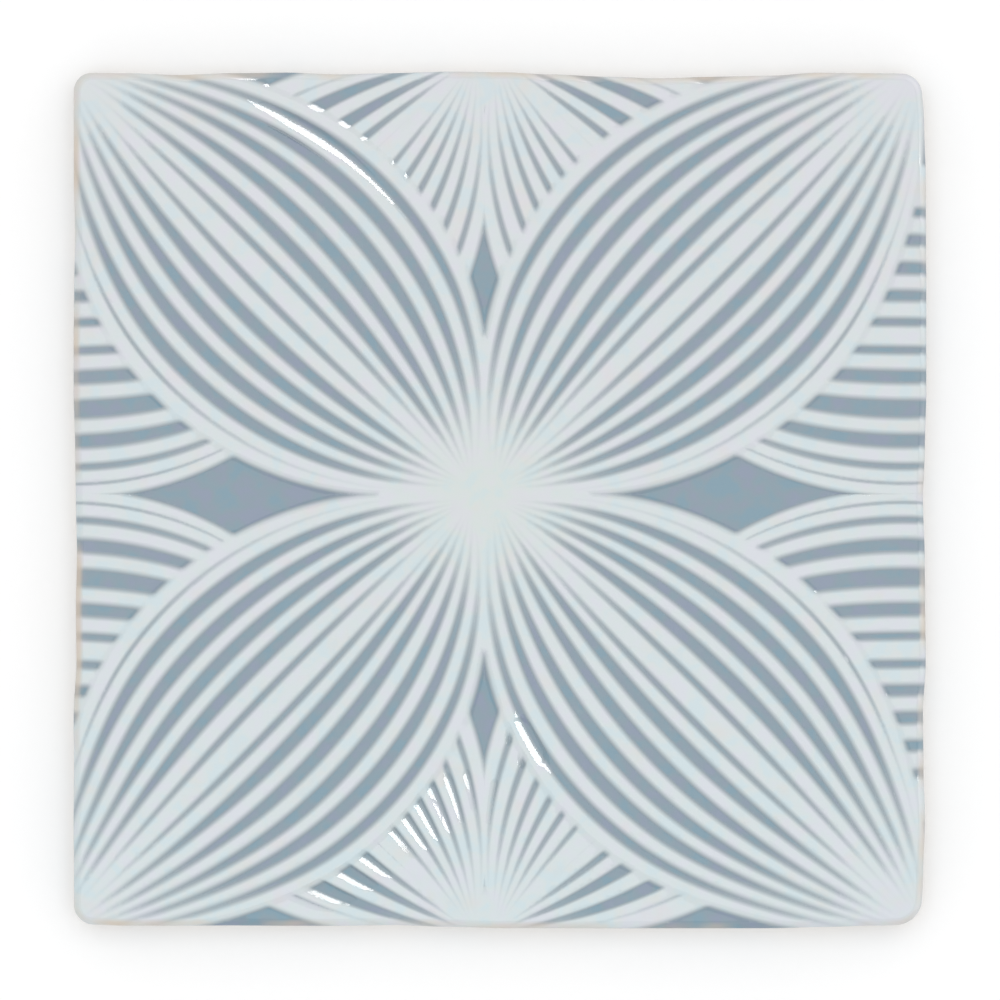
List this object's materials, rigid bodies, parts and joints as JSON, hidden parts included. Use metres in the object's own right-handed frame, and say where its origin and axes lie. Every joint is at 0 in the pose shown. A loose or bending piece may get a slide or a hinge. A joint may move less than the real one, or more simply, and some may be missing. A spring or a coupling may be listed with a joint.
{
  "type": "ceramic wall tile",
  "caption": "Square glazed ceramic wall tile with rounded corners and a moulded relief of ribbed petals that cross near the middle over ribbed bands.",
  "frame": {"origin": "middle of the flat back face, where the tile meets its adhesive bed or the floor", "axes": "+Z out of the glazed face, +Y towards the tile's upper edge as the picture shows it, +X to its right"},
  "size_m": [0.152, 0.1528, 0.0097],
  "materials": {
    "glazed_body": "glossy translucent blue-grey glaze that pools in the grooves and runs thin and milky white over the ribs, on a white fired body"
  },
  "bodies": {
    "root": {"tile": "glazed_body"}
  },
  "joints": []
}
